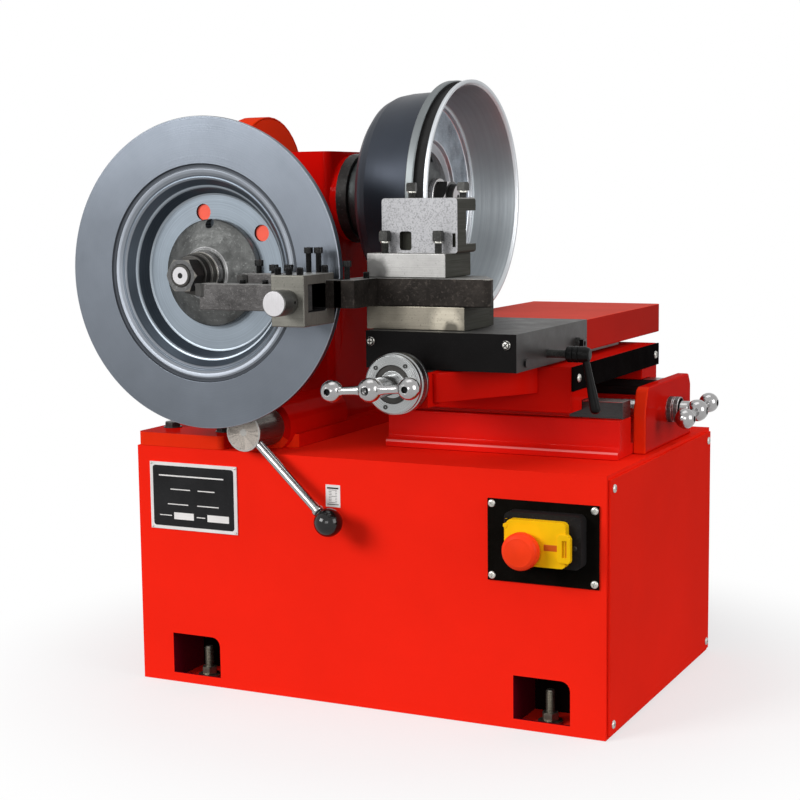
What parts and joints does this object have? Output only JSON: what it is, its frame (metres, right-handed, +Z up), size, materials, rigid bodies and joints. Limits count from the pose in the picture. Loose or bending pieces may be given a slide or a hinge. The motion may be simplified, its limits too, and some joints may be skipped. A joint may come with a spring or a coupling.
{
  "type": "brake lathe",
  "caption": "Bench brake lathe with a disc and a drum on crossed spindles, a compound slide with a twin cutter and tool post, and a floor cabinet with drive.",
  "frame": {"origin": "middle of the cabinet's footprint, on the floor", "axes": "+X right along the cabinet's front and along the drum spindle, +Y from the front to the back and along the disc spindle, +Z up"},
  "size_m": [0.649, 0.583, 0.6755],
  "materials": {
    "red_paint": "gloss",
    "red_casting": "painted gloss",
    "black_paint": "satin",
    "ground_steel": "ground",
    "dark_iron": "as cast",
    "turned_iron": "turned",
    "drum_iron": "turned",
    "chrome": "polished",
    "yellow_plastic": "gloss",
    "red_plastic": "gloss",
    "green_plastic": "gloss",
    "black_plastic": "gloss",
    "motor_shell": "painted",
    "belt_rubber": "matte"
  },
  "bodies": {
    "base": {"base_cabinet": "red_paint", "side_cover": "red_paint", "anchor_stud_left": "ground_steel", "anchor_stud_right": "ground_steel", "nameplate": "ground_steel", "switch_plate": "black_paint", "switch_box": "black_plastic", "motor": "motor_shell", "v_belt": "belt_rubber", "belt_guard": "red_paint", "headstock_casting": "red_casting", "gearbox_cover": "red_casting", "disc_bearing_front": "ground_steel", "disc_bearing_rear": "ground_steel", "drum_bearing_left": "ground_steel", "drum_bearing_right": "ground_steel", "slide_bed": "red_casting", "bed_ways": "ground_steel", "end_bracket": "red_casting"},
    "disc_work": {"disc_spindle": "ground_steel", "disc_gear": "ground_steel", "disc_back_bell": "dark_iron", "brake_disc": "turned_iron", "disc_front_bell": "dark_iron", "disc_spacer": "ground_steel", "disc_nut": "dark_iron"},
    "drum_work": {"drum_spindle": "ground_steel", "drum_gears": "ground_steel", "drum_back_bell": "dark_iron", "brake_drum": "drum_iron", "drum_clamp_plate": "dark_iron", "drum_spacer": "ground_steel", "drum_nut": "ground_steel"},
    "input_drive": {"input_shaft": "ground_steel", "input_pulley": "ground_steel"},
    "motor_rotor": {"motor_pulley": "ground_steel"},
    "shift_lever": {"shift_shaft": "ground_steel", "shift_rod": "chrome", "shift_knob": "black_plastic"},
    "feed_drive": {"feed_screw": "ground_steel", "feed_crank": "chrome"},
    "saddle_unit": {"saddle": "red_casting", "saddle_side_cover": "black_paint", "cross_bracket": "red_casting"},
    "cross_drive": {"cross_screw": "ground_steel", "cross_dial": "chrome", "cross_crank": "chrome"},
    "cross_unit": {"cross_slide": "dark_iron", "slide_front_cover": "black_paint", "slide_rear_cover": "red_paint", "tool_base_block": "ground_steel", "twin_cutter_body": "dark_iron", "rear_cutter_arm": "dark_iron"},
    "slide_clamp": {"clamp_lever": "black_paint"},
    "front_arm": {"front_cutter_arm": "dark_iron"},
    "depth_drive": {"depth_knob": "ground_steel"},
    "post_unit": {"tool_post": "ground_steel"},
    "flap_unit": {"switch_flap": "yellow_plastic"},
    "stop_unit": {"stop_button": "red_plastic"},
    "start_unit": {"start_button": "green_plastic"}
  },
  "joints": [
    {"name": "disc_spindle_spin", "type": "hinge", "parent": "base", "child": "disc_work", "pos_m": [-0.167, 0, 0.466], "axis": [0, 1, 0], "continuous": true},
    {"name": "drum_spindle_spin", "type": "hinge", "parent": "base", "child": "drum_work", "pos_m": [0, 0.028, 0.5435], "axis": [1, 0, 0], "continuous": true},
    {"name": "input_shaft_spin", "type": "hinge", "parent": "base", "child": "input_drive", "pos_m": [-0.264, 0.074, 0.56205], "axis": [1, 0, 0], "continuous": true},
    {"name": "motor_spin", "type": "hinge", "parent": "base", "child": "motor_rotor", "pos_m": [-0.264, 0.074, 0.14], "axis": [1, 0, 0], "continuous": true},
    {"name": "shift_lever_turn", "type": "hinge", "parent": "base", "child": "shift_lever", "pos_m": [-0.129, -0.194, 0.2945], "axis": [0, 1, 0], "range_deg": [-25, 25]},
    {"name": "feed_crank_turn", "type": "hinge", "parent": "base", "child": "feed_drive", "pos_m": [0.303, 0.042, 0.309], "axis": [1, 0, 0], "range_deg": [-217, 5041]},
    {"name": "saddle_travel", "type": "slide", "parent": "base", "child": "saddle_unit", "axis": [1, 0, 0], "range_m": [-0.003, 0.07]},
    {"name": "cross_crank_turn", "type": "hinge", "parent": "saddle_unit", "child": "cross_drive", "pos_m": [0.078, -0.306, 0.361], "axis": [0, 1, 0], "range_deg": [-1441, 505]},
    {"name": "cross_travel", "type": "slide", "parent": "saddle_unit", "child": "cross_unit", "axis": [0, 1, 0], "range_m": [-0.02, 0.007]},
    {"name": "slide_clamp_turn", "type": "hinge", "parent": "cross_unit", "child": "slide_clamp", "pos_m": [0.2235, -0.119, 0.383], "axis": [1, 0, 0], "range_deg": [-90, 60]},
    {"name": "depth_knob_turn", "type": "hinge", "parent": "cross_unit", "child": "depth_drive", "pos_m": [-0.021, -0.303, 0.443], "axis": [0, 1, 0], "range_deg": [-721, 961]},
    {"name": "front_arm_travel", "type": "slide", "parent": "cross_unit", "child": "front_arm", "axis": [0, 1, 0], "range_m": [-0.003, 0.004]},
    {"name": "tool_post_swivel", "type": "hinge", "parent": "cross_unit", "child": "post_unit", "pos_m": [0.0615, -0.162, 0.4633], "axis": [0, 0, 1], "range_deg": [-15, 15]},
    {"name": "switch_flap_open", "type": "hinge", "parent": "base", "child": "flap_unit", "pos_m": [0.1787, -0.2064, 0.2025], "axis": [0, 0, -1], "range_deg": [0, 110]},
    {"name": "stop_button_press", "type": "slide", "parent": "flap_unit", "child": "stop_unit", "axis": [0, 1, 0], "range_m": [0, 0.004], "stiffness_N_per_m": 600, "springref_m": -0.003},
    {"name": "start_button_press", "type": "slide", "parent": "base", "child": "start_unit", "axis": [0, 1, 0], "range_m": [0, 0.003], "stiffness_N_per_m": 600, "springref_m": -0.003}
  ],
  "couplings": [
    {"joint": "drum_spindle_spin", "follows": "disc_spindle_spin", "ratio": -1},
    {"joint": "input_shaft_spin", "follows": "disc_spindle_spin", "ratio": 4.135},
    {"joint": "motor_spin", "follows": "disc_spindle_spin", "ratio": 12.21},
    {"joint": "feed_crank_turn", "follows": "saddle_travel", "rad_per_m": 1256.6},
    {"joint": "cross_crank_turn", "follows": "cross_travel", "rad_per_m": 1256.6},
    {"joint": "depth_knob_turn", "follows": "front_arm_travel", "rad_per_m": 4188.8}
  ]
}
